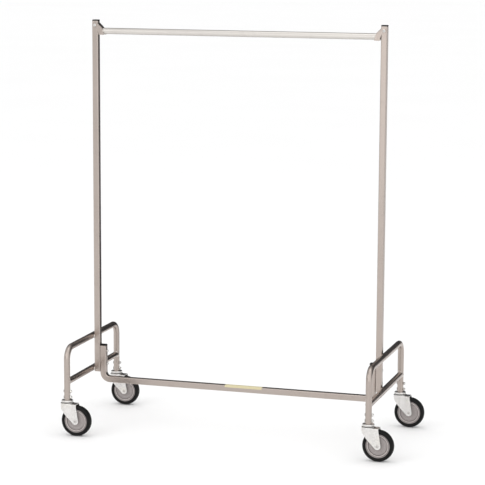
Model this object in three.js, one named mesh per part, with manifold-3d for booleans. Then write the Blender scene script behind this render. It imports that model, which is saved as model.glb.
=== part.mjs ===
// Rolling clothes rack: two square uprights standing in tube hoops on four swivel casters,
// joined by a round hanger bar at the top and a bent square rail near the floor.
// Millimetres. +X runs along the hanger bar, +Y to the back, +Z up, floor at Z = 0.
// X = 0 is the middle of the footprint with all four casters trailing towards +X.

import * as THREE from 'three';
import { mergeVertices } from 'three/addons/utils/BufferGeometryUtils.js';
import Module from 'manifold-3d';

const wasm = await Module();
wasm.setup();

// ---------- driving dimensions ----------

const inch = 25.4;
const gap = 0.3; // air left between pieces that touch

// tubes
const tubeSize = inch;
const tubeHalf = tubeSize / 2;
const tubeWall = 1.6;
const squareCorner = 4; // outside corner radius of the square tube

// the rack as a whole
const uprightSpacing = 48 * inch; // between the centre planes of the uprights
const overallHeight = 1692;
const hangerBarHeight = 1645.7;
const plugFlange = 5;
const plugDepth = 11; // how far a plug reaches into its tube

// base hoops
const legSpacing = 22.5 * inch; // front leg axis to back leg axis
const hoopTopHeight = 362.5;
const hoopBendRadius = 48;
const crossbarHeight = 222.8;
const legFoot = 149; // lower end of the legs

// bottom rail
const railHeight = 179.1;
const railBendRadius = 30;
const railEndTop = 322.3;
const railBoltHeights = [244, 299];

// hanger bar and its brackets
const bracketSheet = 2;
const barEndClearance = 4; // from the bar's end to the upright
const earRadius = 9.5;
const barBoltRise = 23.5; // bolt above the bar's axis

// fasteners
const shankRadius = 3;
const boltHoleRadius = 3.4;
const headRadius = 6.2;
const headHeight = 3;
const nutFlats = 11;
const nutHexHeight = 5;
const nutDomeRadius = 4.6;
const nutHeight = 8.6;
const threadReach = 4.4; // how far a shank goes into its nut

// casters
const trail = 40.8; // swivel axis to wheel axle
const wheelRadius = 63.5;
const tyreHalfWidth = 16;
const tyreSeatRadius = 50;
const hubHalfWidth = 13.2;
const flangeRadius = 24;
const flangeBottom = 141.5;
const crownRadius = 27.5;
const crownTop = 137;
const shelfTop = 134;
const forkSheet = 2.5;
const forkHalfWidth = 20.5; // over the cheeks, at the axle
const forkTipRadius = 13.5;
const kingpinRadius = 6;
const axleRadius = 4;
const bushRadius = 7;
const stemTop = 202;
const stemBoltHeights = [160, 184];

// derived places
const footprintShift = (trail + wheelRadius - crownRadius) / 2;
const uprightX = uprightSpacing / 2;
const hoopX = uprightX + tubeSize + gap;
const railEndX = uprightX - tubeSize - gap;
const legY = legSpacing / 2;
const uprightTop = overallHeight - plugFlange - gap;
const uprightFoot = crossbarHeight - tubeHalf;
const barEndX = uprightX - tubeHalf - barEndClearance;

// facets
const tubeSides = 16;
const boreSides = 8;
const fastenerSides = 8;
const wheelSides = 24;
const bendSteps = 5;
const cornerSegments = 1;

// ---------- materials ----------

const finishes = {
  satinNickel: { color: 0xb4aaa2, metalness: 0.85, roughness: 0.38 },
  zincPlate: { color: 0xd8d3cf, metalness: 0.7, roughness: 0.35 },
  blackPlastic: { color: 0x141414, metalness: 0, roughness: 0.5 },
  greyPlastic: { color: 0x8f8a8a, metalness: 0, roughness: 0.55 },
  rubber: { color: 0x1b1b1c, metalness: 0, roughness: 0.75 },
  steel: { color: 0x9a9a9c, metalness: 0.9, roughness: 0.4 },
};

const material = (finish) => new THREE.MeshStandardMaterial(finishes[finish]);

function piece(name, geometry, finish) {
  const mesh = new THREE.Mesh(geometry, material(finish));
  mesh.name = name;
  return mesh;
}

// ---------- joining and cutting ----------

function toSolid(geometry) {
  const bare = geometry.clone();
  bare.deleteAttribute('normal');
  bare.deleteAttribute('uv');
  const merged = mergeVertices(bare, 1e-4);
  return new wasm.Manifold(new wasm.Mesh({
    numProp: 3,
    vertProperties: new Float32Array(merged.attributes.position.array),
    triVerts: new Uint32Array(merged.index.array),
  }));
}

function toGeometry(solid) {
  const mesh = solid.getMesh();
  const geometry = new THREE.BufferGeometry();
  geometry.setAttribute('position', new THREE.BufferAttribute(new Float32Array(mesh.vertProperties), 3));
  geometry.setIndex(new THREE.BufferAttribute(new Uint32Array(mesh.triVerts), 1));
  geometry.computeVertexNormals();
  return geometry;
}

const join = (...solids) => solids.reduce((sum, next) => sum.add(next));
const cut = (solid, ...tools) => tools.reduce((rest, tool) => rest.subtract(tool), solid);

// ---------- basic shapes ----------

// A square of the given half size with rounded corners.
function roundedSquare(half, radius) {
  const flat = half - radius;
  const outline = new THREE.Shape();
  outline.absarc(flat, flat, radius, 0, Math.PI / 2);
  outline.absarc(-flat, flat, radius, Math.PI / 2, Math.PI);
  outline.absarc(-flat, -flat, radius, Math.PI, 1.5 * Math.PI);
  outline.absarc(flat, -flat, radius, 1.5 * Math.PI, 2 * Math.PI);
  return outline;
}

function squareTubeSection() {
  const section = roundedSquare(tubeHalf, squareCorner);
  section.holes.push(roundedSquare(tubeHalf - tubeWall, squareCorner - tubeWall));
  return section;
}

// A regular polygon whose corners lie on the circle.
function ring(radius, sides) {
  const corners = [];
  for (let i = 0; i < sides; i += 1) {
    const turn = (2 * Math.PI * i) / sides;
    corners.push(new THREE.Vector2(radius * Math.cos(turn), radius * Math.sin(turn)));
  }
  return new THREE.Shape(corners);
}

function roundTubeSection() {
  const section = ring(tubeHalf, tubeSides);
  section.holes.push(ring(tubeHalf - tubeWall, tubeSides));
  return section;
}

// A section pushed along +Z from z = 0.
function straight(section, length) {
  return new THREE.ExtrudeGeometry(section, { depth: length, bevelEnabled: false, curveSegments: cornerSegments });
}

// A cylinder along X, Y or Z, centred on the origin.
function rod(axis, radius, length, sides = boreSides) {
  const geometry = new THREE.CylinderGeometry(radius, radius, length, sides);
  if (axis === 'x') geometry.rotateZ(-Math.PI / 2);
  if (axis === 'z') geometry.rotateX(Math.PI / 2);
  return geometry;
}

const rodAt = (axis, radius, length, x, y, z) => toSolid(rod(axis, radius, length).translate(x, y, z));

// A profile of [radius, height] points turned about +Z.
function turned(profile, sides) {
  const points = profile.map(([radius, height]) => new THREE.Vector2(radius, height));
  return new THREE.LatheGeometry(points, sides).rotateX(Math.PI / 2);
}

// The centre line of a tube: straight legs joined by round bends, stepped finely only in the bends.
class BentPath extends THREE.Curve {
  constructor(corners, bendRadius) {
    super();
    this.stations = [];
    this.tangents = [];
    const directions = corners.slice(1).map((corner, i) => corner.clone().sub(corners[i]).normalize());
    this.addStation(corners[0], directions[0]);
    for (let i = 1; i < corners.length - 1; i += 1) {
      const before = directions[i - 1];
      const after = directions[i];
      const centre = corners[i].clone().addScaledVector(before, -bendRadius).addScaledVector(after, bendRadius);
      for (let step = 0; step <= bendSteps; step += 1) {
        const turn = (Math.PI / 2) * (step / bendSteps);
        const point = centre.clone();
        point.addScaledVector(before, bendRadius * Math.sin(turn));
        point.addScaledVector(after, -bendRadius * Math.cos(turn));
        const tangent = before.clone().multiplyScalar(Math.cos(turn)).addScaledVector(after, Math.sin(turn));
        this.addStation(point, tangent);
      }
    }
    this.addStation(corners[corners.length - 1], directions[directions.length - 1]);
  }

  addStation(point, tangent) {
    this.stations.push(point.clone());
    this.tangents.push(tangent.clone());
  }

  get steps() {
    return this.stations.length - 1;
  }

  getPointAt(u) {
    return this.stations[Math.round(u * this.steps)].clone();
  }

  getTangentAt(u) {
    return this.tangents[Math.round(u * this.steps)].clone();
  }
}

function bentTube(section, corners, bendRadius) {
  const path = new BentPath(corners, bendRadius);
  return new THREE.ExtrudeGeometry(section, { extrudePath: path, steps: path.steps, curveSegments: cornerSegments });
}

// ---------- fasteners ----------
// Each lies along +X with the underside of its head, or the foot of the nut, at X = 0.

function bolt(grip) {
  const tip = grip + threadReach;
  const profile = [
    [0, -headHeight],
    [headRadius * 0.55, -headHeight * 0.88],
    [headRadius, -headHeight * 0.25],
    [headRadius, 0],
    [shankRadius, 0],
    [shankRadius, tip],
    [0, tip],
  ];
  return turned(profile, fastenerSides).rotateY(Math.PI / 2);
}

function solidCapNut() {
  const hex = new THREE.CylinderGeometry(nutFlats / Math.sqrt(3), nutFlats / Math.sqrt(3), nutHexHeight, 6);
  hex.rotateX(Math.PI / 2).translate(0, 0, nutHexHeight / 2);
  const domeProfile = [
    [0, nutHexHeight - 1],
    [nutDomeRadius, nutHexHeight - 1],
    [nutDomeRadius, nutHexHeight + 1.2],
    [nutDomeRadius * 0.72, nutHeight - 0.9],
    [0, nutHeight],
  ];
  const dome = turned(domeProfile, fastenerSides);
  return join(toSolid(hex.rotateY(Math.PI / 2)), toSolid(dome.rotateY(Math.PI / 2)));
}

function capNut() {
  const boreDepth = threadReach + gap;
  const bore = rodAt('x', shankRadius + gap, boreDepth + 1, (boreDepth - 1) / 2, 0, 0);
  return toGeometry(cut(solidCapNut(), bore));
}

// A bolt with its cap nut run tight, as one solid.
function boltWithNut(grip) {
  const nut = solidCapNut().translate([grip, 0, 0]);
  return toGeometry(join(toSolid(bolt(grip)), nut));
}

// ---------- uprights, plugs ----------

function upright() {
  const tube = straight(squareTubeSection(), uprightTop - uprightFoot).translate(0, 0, uprightFoot);
  const barBoltHole = rodAt('y', boltHoleRadius, 2 * tubeSize, 0, 0, hangerBarHeight + barBoltRise);
  const railBoltHoles = railBoltHeights.map((z) => rodAt('x', boltHoleRadius, 2 * tubeSize, 0, 0, z));
  return toGeometry(cut(toSolid(tube), barBoltHole, ...railBoltHoles));
}

// A square plug whose flange rests on a tube end at z = 0.
function plug() {
  const bevel = 1;
  const flangeShape = roundedSquare(tubeHalf - bevel, squareCorner - bevel);
  const flange = new THREE.ExtrudeGeometry(flangeShape, {
    depth: plugFlange - 2 * bevel,
    bevelThickness: bevel,
    bevelSize: bevel,
    bevelSegments: 1,
    curveSegments: cornerSegments,
  });
  flange.translate(0, 0, bevel + gap);
  const shankShape = roundedSquare(tubeHalf - tubeWall - gap, squareCorner - tubeWall);
  const shank = straight(shankShape, plugDepth + 1).translate(0, 0, -plugDepth);
  return toGeometry(join(toSolid(flange), toSolid(shank)));
}

// ---------- bottom rail ----------

function bottomRail() {
  const corners = [
    new THREE.Vector3(-railEndX, 0, railEndTop),
    new THREE.Vector3(-railEndX, 0, railHeight),
    new THREE.Vector3(railEndX, 0, railHeight),
    new THREE.Vector3(railEndX, 0, railEndTop),
  ];
  const tube = toSolid(bentTube(squareTubeSection(), corners, railBendRadius));
  const holes = [-railEndX, railEndX].flatMap((x) =>
    railBoltHeights.map((z) => rodAt('x', boltHoleRadius, 2 * tubeSize, x, 0, z)));
  return toGeometry(cut(tube, ...holes));
}

// ---------- base hoops and crossbars ----------

function baseHoop() {
  const corners = [
    new THREE.Vector3(0, -legY, legFoot),
    new THREE.Vector3(0, -legY, hoopTopHeight),
    new THREE.Vector3(0, legY, hoopTopHeight),
    new THREE.Vector3(0, legY, legFoot),
  ];
  const tube = toSolid(bentTube(roundTubeSection(), corners, hoopBendRadius));
  const holes = [-legY, legY].flatMap((y) =>
    stemBoltHeights.map((z) => rodAt('x', boltHoleRadius, 2 * tubeSize, 0, y, z)));
  return toGeometry(cut(tube, ...holes));
}

// A straight tube whose ends are coped to sit against the legs.
function baseCrossbar() {
  const tube = straight(roundTubeSection(), legSpacing).rotateX(Math.PI / 2);
  tube.translate(0, legY, crossbarHeight);
  const copes = [-legY, legY].map((y) =>
    toSolid(rod('z', tubeHalf + gap, 4 * tubeSize, tubeSides).translate(0, y, crossbarHeight)));
  return toGeometry(cut(toSolid(tube), ...copes));
}

// ---------- hanger bar and brackets ----------

function hangerBar() {
  const tube = straight(roundTubeSection(), 2 * barEndX).rotateY(Math.PI / 2);
  return tube.translate(-barEndX, 0, hangerBarHeight);
}

// A pressed channel: two cheeks bolted over the upright and welded along the bar, joined by a
// sloping back that fills the corner above the bar. Its own x runs from the upright along the bar
// and its own z starts at the bar's axis.
function barBracket() {
  const slope = 45; // the back's outer face lies on x + z = slope
  const backFoot = tubeHalf + gap;
  const reach = 40; // along the bar
  const belowBar = 15.6;
  const cheekFace = tubeHalf + gap;

  const cheekShape = new THREE.Shape();
  cheekShape.moveTo(slope - backFoot, backFoot);
  cheekShape.lineTo(backFoot, slope - backFoot);
  cheekShape.absarc(0, barBoltRise, earRadius, Math.PI / 2, Math.PI * 1.75);
  cheekShape.lineTo(backFoot, 0);
  cheekShape.lineTo(tubeHalf + barEndClearance + 1, -belowBar);
  cheekShape.lineTo(reach, -belowBar);
  cheekShape.closePath();
  const cheek = new THREE.ExtrudeGeometry(cheekShape, {
    depth: bracketSheet,
    bevelEnabled: false,
    curveSegments: 16,
  });
  cheek.rotateX(Math.PI / 2);
  const front = toSolid(cheek.clone().translate(0, -cheekFace, 0));
  const rear = toSolid(cheek.clone().translate(0, cheekFace + bracketSheet, 0));

  const inset = bracketSheet * Math.SQRT2;
  const backShape = new THREE.Shape();
  backShape.moveTo(backFoot, slope - backFoot);
  backShape.lineTo(backFoot, slope - backFoot - inset);
  backShape.lineTo(slope - backFoot - inset, backFoot);
  backShape.lineTo(slope - backFoot, backFoot);
  backShape.closePath();
  const back = new THREE.ExtrudeGeometry(backShape, { depth: 2 * cheekFace, bevelEnabled: false });
  back.rotateX(Math.PI / 2).translate(0, cheekFace, 0);

  const boltHole = rodAt('y', boltHoleRadius, 2 * tubeSize, 0, 0, barBoltRise);
  return toGeometry(cut(join(front, rear, toSolid(back)), boltHole));
}

// ---------- caster parts ----------
// Each stands on the floor with the swivel axis at x = 0, y = 0.

// The stem fills the leg, its flange is the upper ball race and its riveted pin holds the fork.
function casterStem() {
  const stemRadius = tubeHalf - tubeWall - gap;
  const flangeTop = legFoot - gap;
  const raceStep = 1.5;
  const pinHeadTop = shelfTop - forkSheet - gap;
  const pinHeadRadius = 9.5;
  const pinHeadHeight = 3;
  const profile = [
    [0, pinHeadTop - pinHeadHeight],
    [pinHeadRadius - 2, pinHeadTop - pinHeadHeight],
    [pinHeadRadius, pinHeadTop],
    [kingpinRadius, pinHeadTop],
    [kingpinRadius, flangeBottom - raceStep],
    [flangeRadius - 8, flangeBottom - raceStep],
    [flangeRadius, flangeBottom],
    [flangeRadius, flangeTop - 2],
    [flangeRadius - 2, flangeTop],
    [stemRadius, flangeTop],
    [stemRadius, stemTop],
    [0, stemTop],
  ];
  const holes = stemBoltHeights.map((z) => rodAt('x', boltHoleRadius, 2 * tubeSize, 0, 0, z));
  return toGeometry(cut(toSolid(turned(profile, tubeSides)), ...holes));
}

// Plan outline of the fork: round over the swivel, narrowing to two parallel cheeks.
function forkPlan(inset, rearX) {
  const radius = crownRadius - inset;
  const half = forkHalfWidth - inset;
  const taperTurn = 1.2; // where the round crown runs into the taper
  const taperEndX = 26;
  const plan = new THREE.Shape();
  plan.moveTo(rearX, -half);
  plan.lineTo(rearX, half);
  plan.lineTo(taperEndX, half);
  plan.absarc(0, 0, radius, taperTurn, Math.PI / 2);
  plan.absarc(0, 0, radius, Math.PI / 2, 1.5 * Math.PI);
  plan.absarc(0, 0, radius, 1.5 * Math.PI, 2 * Math.PI - taperTurn);
  plan.lineTo(taperEndX, -half);
  plan.closePath();
  return plan;
}

// Side outline of the fork: level crown, upright rear edge, round tip at the axle and a front
// edge that runs back up to the crown.
function forkSide() {
  const rearTopX = 44;
  const tipRearTurn = 0.14;
  const tipFrontTurn = -2.435;
  const side = new THREE.Shape();
  side.moveTo(-crownRadius - 1, crownTop + 1);
  side.lineTo(-crownRadius - 1, 131);
  side.quadraticCurveTo(-25, 117, -12.2, 105);
  side.absarc(trail, wheelRadius, forkTipRadius, tipFrontTurn, tipRearTurn);
  side.lineTo(rearTopX, shelfTop - 1);
  side.lineTo(rearTopX, crownTop + 1);
  side.closePath();
  return side;
}

function casterFork() {
  const below = wheelRadius - forkTipRadius - 1;
  const rearX = trail + forkTipRadius + 1;
  const extrude = (shape, depth, segments) =>
    new THREE.ExtrudeGeometry(shape, { depth, bevelEnabled: false, curveSegments: segments });
  const outer = toSolid(extrude(forkPlan(0, rearX), shelfTop - below, 4).translate(0, 0, below));
  const innerHeight = shelfTop - forkSheet - below + 1;
  const inner = toSolid(extrude(forkPlan(forkSheet, rearX + 1), innerHeight, 4).translate(0, 0, below - 1));
  const sideDepth = 2 * crownRadius + 2;
  const side = toSolid(extrude(forkSide(), sideDepth, 4).rotateX(Math.PI / 2).translate(0, sideDepth / 2, 0));
  const shell = cut(outer, inner).intersect(side);

  const cupProfile = [
    [0, shelfTop - 1],
    [crownRadius, shelfTop - 1],
    [crownRadius, crownTop - 1.2],
    [crownRadius - 1.2, crownTop],
    [0, crownTop],
  ];
  const cup = toSolid(turned(cupProfile, tubeSides));
  const pinHole = toSolid(rod('z', kingpinRadius + gap, 60, tubeSides).translate(0, 0, crownTop));
  const axleHole = rodAt('y', axleRadius + gap, 4 * forkHalfWidth, trail, 0, wheelRadius);
  return toGeometry(cut(join(shell, cup), pinHole, axleHole));
}

// The parts on the axle are turned about their own axis, then laid along Y at the axle.
const onAxle = (geometry) => geometry.rotateX(Math.PI / 2).translate(trail, 0, wheelRadius);

// A rivet: a flat head over each cheek.
function wheelAxle() {
  const face = forkHalfWidth + gap;
  const rivetHead = 6.3;
  const rivetHeight = 2;
  const profile = [
    [0, -face - rivetHeight],
    [rivetHead - 1, -face - rivetHeight],
    [rivetHead, -face],
    [axleRadius, -face],
    [axleRadius, face],
    [rivetHead, face],
    [rivetHead - 1, face + rivetHeight],
    [0, face + rivetHeight],
  ];
  return onAxle(turned(profile, boreSides));
}

function wheelBush() {
  const half = forkHalfWidth - forkSheet - gap;
  const bore = axleRadius + gap;
  const profile = [[bore, -half], [bushRadius, -half], [bushRadius, half], [bore, half], [bore, -half]];
  return onAxle(turned(profile, tubeSides));
}

// Both halves of a wheel profile are alike: the given points, then their mirror image.
function mirroredProfile(half) {
  const mirrored = half.map(([radius, height]) => [radius, -height]).reverse();
  return [...half, ...mirrored, half[0]];
}

function wheelHub() {
  const bossHalfWidth = 16.5;
  const webHalfWidth = 11;
  const profile = mirroredProfile([
    [bushRadius + gap, bossHalfWidth],
    [12, bossHalfWidth],
    [13.5, webHalfWidth],
    [42, webHalfWidth],
    [tyreSeatRadius, hubHalfWidth],
  ].map(([radius, height]) => [radius, -height]));
  return onAxle(turned(profile, wheelSides));
}

function wheelTyre() {
  const profile = mirroredProfile([
    [tyreSeatRadius + gap, -13],
    [56, -tyreHalfWidth],
    [61.5, -12],
    [wheelRadius, -4.5],
  ]);
  return onAxle(turned(profile, wheelSides));
}

// ---------- assembly ----------

const rack = new THREE.Group();
const structure = new THREE.Group();
structure.position.x = -footprintShift;
rack.add(structure);

function place(mesh, x, y, z, turn = 0) {
  mesh.position.set(x, y, z);
  mesh.rotation.z = turn;
  structure.add(mesh);
}

const sides = [
  { name: 'left', sign: -1, turn: 0 },
  { name: 'right', sign: 1, turn: Math.PI },
];
const headFace = tubeHalf + gap; // from a tube's axis to the underside of a bolt head

for (const { name, sign, turn } of sides) {
  place(piece(`${name}_upright`, upright(), 'satinNickel'), sign * uprightX, 0, 0);
  place(piece(`${name}_upright_plug`, plug(), 'blackPlastic'), sign * uprightX, 0, uprightTop);
  place(piece(`${name}_base_hoop`, baseHoop(), 'satinNickel'), sign * hoopX, 0, 0);
  place(piece(`${name}_base_crossbar`, baseCrossbar(), 'satinNickel'), sign * hoopX, 0, 0);
  place(piece(`${name}_rail_plug`, plug(), 'blackPlastic'), sign * railEndX, 0, railEndTop);
  place(piece(`${name}_bar_bracket`, barBracket(), 'satinNickel'), sign * uprightX, 0, hangerBarHeight, turn);

  const barBoltHeight = hangerBarHeight + barBoltRise;
  const cheekOuter = tubeHalf + gap + bracketSheet + gap;
  const barBolt = piece(`${name}_bar_bolt`, bolt(2 * cheekOuter), 'zincPlate');
  place(barBolt, sign * uprightX, -cheekOuter, barBoltHeight, Math.PI / 2);
  const barNut = piece(`${name}_bar_nut`, capNut(), 'zincPlate');
  place(barNut, sign * uprightX, cheekOuter, barBoltHeight, Math.PI / 2);

  const outerFace = uprightX + headFace;
  const innerFace = railEndX - headFace;
  railBoltHeights.forEach((height, i) => {
    const level = ['lower', 'upper'][i];
    const railBolt = piece(`${name}_rail_bolt_${level}`, bolt(outerFace - innerFace), 'zincPlate');
    place(railBolt, sign * outerFace, 0, height, turn);
    const railNut = piece(`${name}_rail_nut_${level}`, capNut(), 'zincPlate');
    place(railNut, sign * innerFace, 0, height, turn);
  });
}

structure.add(piece('hanger_bar', hangerBar(), 'satinNickel'));
structure.add(piece('bottom_rail', bottomRail(), 'satinNickel'));

const corners = sides.flatMap(({ name, sign }) => [
  { name: `front_${name}`, x: sign * hoopX, y: -legY },
  { name: `back_${name}`, x: sign * hoopX, y: legY },
]);

for (const { name, x, y } of corners) {
  const caster = new THREE.Group();
  caster.position.set(x, y, 0);
  caster.add(piece(`${name}_caster_stem`, casterStem(), 'zincPlate'));
  stemBoltHeights.forEach((height, i) => {
    const level = ['lower', 'upper'][i];
    const stemBolt = piece(`${name}_stem_bolt_${level}`, boltWithNut(2 * headFace), 'zincPlate');
    stemBolt.position.set(-headFace, 0, height);
    caster.add(stemBolt);
  });
  caster.add(piece(`${name}_caster_fork`, casterFork(), 'zincPlate'));
  caster.add(piece(`${name}_wheel_axle`, wheelAxle(), 'zincPlate'));
  caster.add(piece(`${name}_wheel_bush`, wheelBush(), 'steel'));
  caster.add(piece(`${name}_wheel_hub`, wheelHub(), 'greyPlastic'));
  caster.add(piece(`${name}_wheel_tyre`, wheelTyre(), 'rubber'));
  structure.add(caster);
}

export default rack;
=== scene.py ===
# Rolling clothes rack: two square uprights standing in tube hoops on four swivel casters, joined by
# a round hanger bar at the top and a bent square rail near the floor. Metres, in the frame of the
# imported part: +X along the hanger bar, +Y to the back, +Z up, floor at Z = 0.

import bmesh
import bpy
import numpy as np
from mathutils import Matrix, Vector


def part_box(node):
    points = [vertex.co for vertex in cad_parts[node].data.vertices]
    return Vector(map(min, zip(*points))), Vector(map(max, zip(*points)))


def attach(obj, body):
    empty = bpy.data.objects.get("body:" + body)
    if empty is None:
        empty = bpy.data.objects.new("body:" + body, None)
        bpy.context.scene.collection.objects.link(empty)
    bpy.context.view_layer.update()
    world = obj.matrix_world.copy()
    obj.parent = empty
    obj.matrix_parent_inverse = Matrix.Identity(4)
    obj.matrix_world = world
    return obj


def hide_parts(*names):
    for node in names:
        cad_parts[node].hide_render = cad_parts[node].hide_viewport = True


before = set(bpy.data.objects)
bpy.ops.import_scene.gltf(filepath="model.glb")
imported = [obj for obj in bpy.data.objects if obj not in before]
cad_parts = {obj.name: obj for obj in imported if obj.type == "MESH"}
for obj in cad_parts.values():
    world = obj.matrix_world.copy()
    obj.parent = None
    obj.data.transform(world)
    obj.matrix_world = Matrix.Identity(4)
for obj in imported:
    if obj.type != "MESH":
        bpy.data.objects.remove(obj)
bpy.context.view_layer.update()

# ---------- uprights ----------
# Two straight lengths of one inch square steel tube with a 1.6 mm wall, plated in satin nickel.
# Each is welded to its base hoop and crossbar, and drilled across for the bar and rail bolts.

MM = 0.001
TINY = 1e-7
TUBE_HALF = 12.7 * MM
TUBE_WALL = 1.6 * MM
SQUARE_CORNER = 4 * MM
END_EASE = 0.5 * MM
SHARP_ANGLE = np.radians(38)


def eased(points, ease, steps=4, closed=True):
    """Outline with softened corners: each corner gives way to the curve
    (1-t)^2 a + 2t(1-t) corner + t^2 b, where a and b lie `ease` before and after it. One more point
    on each side keeps the shading of the flats flat. An open outline keeps its two end points."""
    points = np.array(points, float)
    wanted = np.broadcast_to(ease, len(points))[:, None]

    def towards(step):
        reach = np.roll(points, step, axis=0) - points
        length = np.linalg.norm(reach, axis=1, keepdims=True)
        return reach / length * np.minimum(wanted, 0.4 * length)

    a, b = towards(1)[:, None], towards(-1)[:, None]
    t = np.linspace(0, 1, steps + 1)[None, :, None]
    curve = (1 - t) ** 2 * a + t**2 * b
    outline = np.concatenate([1.2 * a, curve, 1.2 * b], axis=1) + points[:, None]
    if closed:
        outline = outline.reshape(-1, points.shape[1])
    else:
        outline = np.vstack([points[:1], outline[1:-1].reshape(-1, points.shape[1]), points[-1:]])
    moved = np.linalg.norm(np.diff(outline, axis=0), axis=1) > TINY
    return outline[np.r_[True, moved]]


def square(half, corner):
    """Outline of a square tube: four corners eased over the given distance."""
    return eased(half * np.array([[1, 1], [-1, 1], [-1, -1], [1, -1]]), corner, steps=6)


def bent_path(corners, bend, steps=14):
    """Centre line through the corners with a quarter circle of radius `bend` at each inner one.
    Returns the points and the unit tangents there."""
    corners = np.array(corners, float)
    legs = np.diff(corners, axis=0)
    along = legs / np.linalg.norm(legs, axis=1, keepdims=True)
    before, after = along[:-1, None], along[1:, None]
    turn = np.linspace(0, np.pi / 2, steps + 1)[None, :, None]
    centre = corners[1:-1, None] + bend * (after - before)
    arc = centre + bend * (np.sin(turn) * before - np.cos(turn) * after)
    arc_tangent = np.cos(turn) * before + np.sin(turn) * after
    points = np.vstack([corners[:1], arc.reshape(-1, 3), corners[-1:]])
    tangents = np.vstack([along[:1], arc_tangent.reshape(-1, 3), along[-1:]])
    return points, tangents


def hollow_tube(path, across, outer, inner):
    """Grid of a tube wall: the outer outline is carried along the path and the inner one is carried
    back, with the rim between them eased. `across` is square to the plane of the path."""
    points, tangents = path
    first, last = END_EASE * tangents[:1], END_EASE * tangents[-1:]
    stations = np.vstack([
        points[:1], points[:1] + first, points[:1] + 3 * first,
        points[1:-1],
        points[-1:] - 3 * last, points[-1:] - last, points[-1:],
    ])
    tangents = np.vstack([tangents[[0, 0, 0]], tangents[1:-1], tangents[[-1, -1, -1]]])
    rim = np.zeros(len(stations))
    rim[[0, -1]] = 0.2
    inwards = np.concatenate([rim, 1 - rim])[:, None, None]
    there_and_back = np.r_[np.arange(len(stations)), np.arange(len(stations))[::-1]]
    across = np.array(across, float)
    upwards = np.cross(across, tangents)[there_and_back, None]
    outline = (1 - inwards) * outer[None] + inwards * inner[None]
    return stations[there_and_back, None] + outline[..., :1] * across + outline[..., 1:] * upwards


def skin(grid, ends="ring"):
    """Closed surface over a grid of points: (i, j) joins (i, j + 1) round the section and
    (i + 1, j) along the path. "ring" joins the last row to the first, "poles" closes each end row
    with a fan. Faces come with path coordinates: distance round the section and distance along
    the path. Faces that point inwards enclose a negative volume, and are turned round."""
    poles = grid[[0, -1]].mean(axis=1)
    if ends == "poles":
        grid = grid[np.ptp(grid, axis=1).max(axis=1) > TINY]
    index = np.arange(grid[..., 0].size).reshape(grid.shape[:2])
    around = np.linalg.norm(np.roll(grid, -1, axis=1) - grid, axis=2).mean(axis=0)
    onwards = np.linalg.norm(np.roll(grid, -1, axis=0) - grid, axis=2).mean(axis=1)
    u = np.r_[0, np.cumsum(around)]
    v = np.r_[0, np.cumsum(onwards)]
    rows = len(index) if ends == "ring" else len(index) - 1
    low, high = index[:rows], np.roll(index, -1, axis=0)[:rows]
    quads = np.stack([low, np.roll(low, -1, 1), np.roll(high, -1, 1), high], axis=-1)
    left, right = np.meshgrid(u[:-1], v[:rows])[0], np.meshgrid(u[1:], v[:rows])[0]
    under, over = np.meshgrid(u[:-1], v[:rows])[1], np.meshgrid(u[:-1], v[1:rows + 1])[1]
    quad_path = np.stack([left, under, right, under, right, over, left, over], axis=-1)
    points = grid.reshape(-1, 3)
    fans = np.empty((0, 3), int)
    fan_path = np.empty((0, 3, 2))
    if ends == "poles":
        start, finish = index[0], index[-1]
        fans = np.vstack([
            np.stack([np.roll(start, -1), start, np.full_like(start, len(points))], axis=1),
            np.stack([finish, np.roll(finish, -1), np.full_like(finish, len(points) + 1)], axis=1),
        ])
        points = np.vstack([points, poles])
        fan_path = points[fans][..., :2]
    quads, quad_path = quads.reshape(-1, 4), quad_path.reshape(-1, 4, 2)
    halves = points[np.vstack([quads[:, [0, 1, 2]], quads[:, [0, 2, 3]], fans])]
    if np.einsum("ij,ij->i", halves[:, 0], np.cross(halves[:, 1], halves[:, 2])).sum() < 0:
        quads, quad_path = quads[:, ::-1], quad_path[:, ::-1]
        fans, fan_path = fans[:, ::-1], fan_path[:, ::-1]
    return points, quads, quad_path, fans, fan_path


def measure_edges(mesh):
    """Stores on each vertex how sharply the surface turns there, as 1 mm over the radius, above 0
    where it bulges: 2 (p - q) . n / |p - q|^2, for its place p, its normal n and a neighbour q.
    The neighbours' lowest and highest values are added up."""
    points = np.empty(len(mesh.vertices) * 3)
    normals = np.empty(len(mesh.vertices) * 3, np.float32)
    pairs = np.empty(len(mesh.edges) * 2, np.int32)
    mesh.vertices.foreach_get("co", points)
    mesh.vertex_normals.foreach_get("vector", normals)
    mesh.edges.foreach_get("vertices", pairs)
    points, normals, pairs = points.reshape(-1, 3), normals.reshape(-1, 3), pairs.reshape(-1, 2)
    step = (points[pairs[:, 1]] - points[pairs[:, 0]])[:, None] * [[-1], [1]]
    length = np.maximum((step**2).sum(axis=2), TINY**2)
    bend = 2 * MM * (step * normals[pairs]).sum(axis=2) / length
    sharpest, hollowest = np.zeros(len(points)), np.zeros(len(points))
    np.maximum.at(sharpest, pairs, bend)
    np.minimum.at(hollowest, pairs, bend)
    layer = mesh.attributes.new("edge", "FLOAT", "POINT")
    layer.data.foreach_set("value", (sharpest + hollowest).astype(np.float32))


def fit_piece(name, mesh, finish, body, stands_for):
    """Smooths and links a finished mesh with its finish, hangs it on the empty of the body it rides
    on, and hides the imported parts it stands for.
    """
    mesh.shade_smooth()
    mesh.set_sharp_from_angle(angle=SHARP_ANGLE)
    measure_edges(mesh)
    mesh.materials.clear()
    mesh.materials.append(finish.material)
    piece = bpy.data.objects.new(name, mesh)
    bpy.context.scene.collection.objects.link(piece)
    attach(piece, body)
    if stands_for:
        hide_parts(*stands_for)
    return piece


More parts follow.
